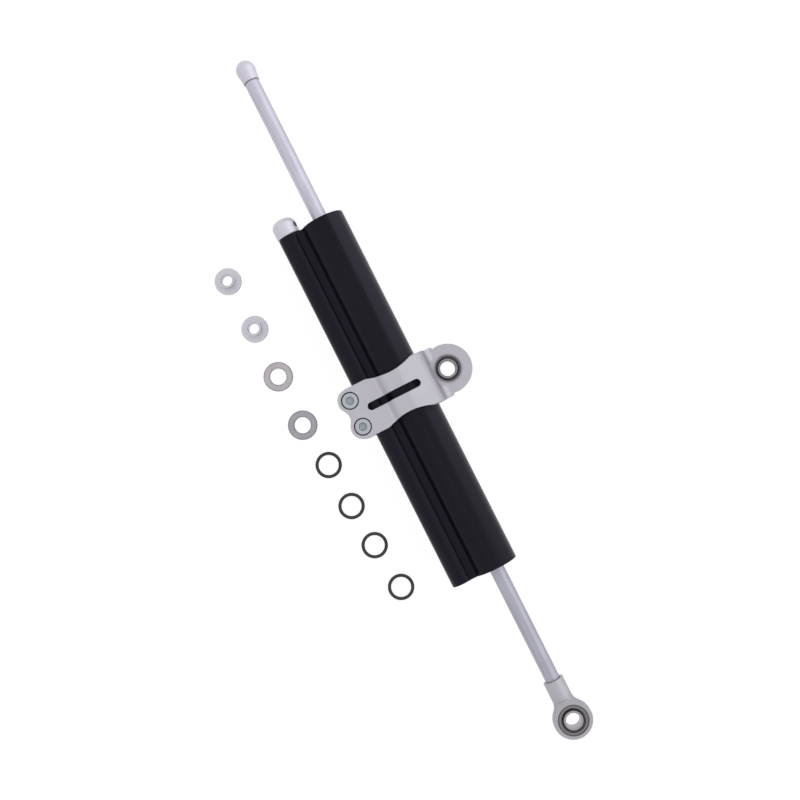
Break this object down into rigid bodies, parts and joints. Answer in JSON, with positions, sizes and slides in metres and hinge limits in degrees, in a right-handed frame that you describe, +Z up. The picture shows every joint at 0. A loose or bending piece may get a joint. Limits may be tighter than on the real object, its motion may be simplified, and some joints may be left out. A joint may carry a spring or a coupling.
{
  "type": "motorcycle steering damper",
  "caption": "Linear hydraulic steering damper with a clamp eye, a rod-end eye, a click adjuster and its loose fitting kit",
  "frame": {"origin": "centre of the ball bore in the clamp's eye", "axes": "+X along the damper towards its rod end, +Z up along the bolt of the clamp's eye, +Y out of the damper through the clamp's eye"},
  "size_m": [0.3987, 0.1044, 0.032],
  "materials": {
    "black_anodised": "satin black anodised extrusion",
    "silver_anodised": "bead-blasted silver anodised",
    "machined_alloy": "turned aluminium",
    "kit_alloy": "turned bright aluminium",
    "hard_chrome": "ground hard chrome",
    "matt_steel": "matt grey zinc plated steel",
    "bearing_steel": "ground bearing steel",
    "spring_steel": "phosphated spring steel",
    "black_steel": "blackened steel",
    "zinc_steel": "blue zinc plated steel",
    "kit_washer_steel": "stamped stainless steel",
    "brass": "turned brass",
    "bronze": "lined bronze bush",
    "bearing_plastic": "filled bearing plastic",
    "black_rubber": "moulded nitrile rubber"
  },
  "bodies": {
    "cylinder": {"cylinder_body": "black_anodised", "seal_head_right": "machined_alloy", "seal_head_left": "machined_alloy", "retaining_rings": "spring_steel", "seal_head_o_rings": "black_rubber", "rod_bushes": "bronze", "rod_seals": "black_rubber", "seal_spacers": "machined_alloy", "dust_wipers": "black_rubber", "adjuster_housing": "brass", "adjuster_housing_o_ring": "black_rubber", "spindle_o_ring": "black_rubber", "needle_seat": "brass", "detent_ball": "bearing_steel", "detent_spring": "spring_steel", "channel_plug": "machined_alloy", "channel_plug_o_ring": "black_rubber", "reducer_bushes": "kit_alloy", "plain_washers": "kit_washer_steel", "fitting_o_rings": "black_rubber"},
    "band": {"piston_band": "bearing_plastic"},
    "rod": {"piston_rod": "hard_chrome", "piston": "machined_alloy", "band_backing_ring": "black_rubber", "piston_clips": "spring_steel", "rod_cap": "silver_anodised", "cap_stop_ring": "black_rubber", "rod_end": "matt_steel", "rod_end_race": "bearing_steel", "rod_end_snap_rings": "matt_steel"},
    "rod_eye_ball": {"rod_end_ball": "bearing_steel"},
    "clamp": {"clamp_body": "silver_anodised", "clamp_screws": "zinc_steel", "clamp_bearing_race": "bearing_steel", "clamp_snap_ring": "spring_steel"},
    "clamp_eye_ball": {"clamp_bearing_ball": "bearing_steel"},
    "adjuster": {"adjuster_knob": "silver_anodised", "knob_grub_screw": "black_steel", "adjuster_spindle": "bearing_steel"},
    "needle": {"metering_needle": "bearing_steel"}
  },
  "joints": [
    {"name": "rod_slide", "type": "slide", "parent": "cylinder", "child": "band", "axis": [1, 0, 0], "range_m": [-0.062, 0.078]},
    {"name": "rod_turn", "type": "hinge", "parent": "band", "child": "rod", "pos_m": [0.0024, -0.0242, 0], "axis": [1, 0, 0], "continuous": true},
    {"name": "rod_end_ball_tilt", "type": "hinge", "parent": "rod", "child": "rod_eye_ball", "pos_m": [0.19465, -0.0242, 0], "axis": [0, 1, 0], "range_deg": [-12, 12]},
    {"name": "clamp_slide", "type": "slide", "parent": "cylinder", "child": "clamp", "axis": [1, 0, 0], "range_m": [-0.083, 0.088]},
    {"name": "clamp_ball_tilt", "type": "hinge", "parent": "clamp", "child": "clamp_eye_ball", "pos_m": [0, 0, 0], "axis": [0, 1, 0], "range_deg": [-12, 12]},
    {"name": "adjuster_turn", "type": "hinge", "parent": "cylinder", "child": "adjuster", "pos_m": [0.0024, -0.0432, 0], "axis": [1, 0, 0], "range_deg": [-300, 300]},
    {"name": "needle_feed", "type": "slide", "parent": "adjuster", "child": "needle", "axis": [1, 0, 0], "range_m": [-0.0006, 0.0006]}
  ],
  "couplings": [
    {"joint": "needle_feed", "follows": "adjuster_turn", "m_per_rad": 0.00011141}
  ]
}
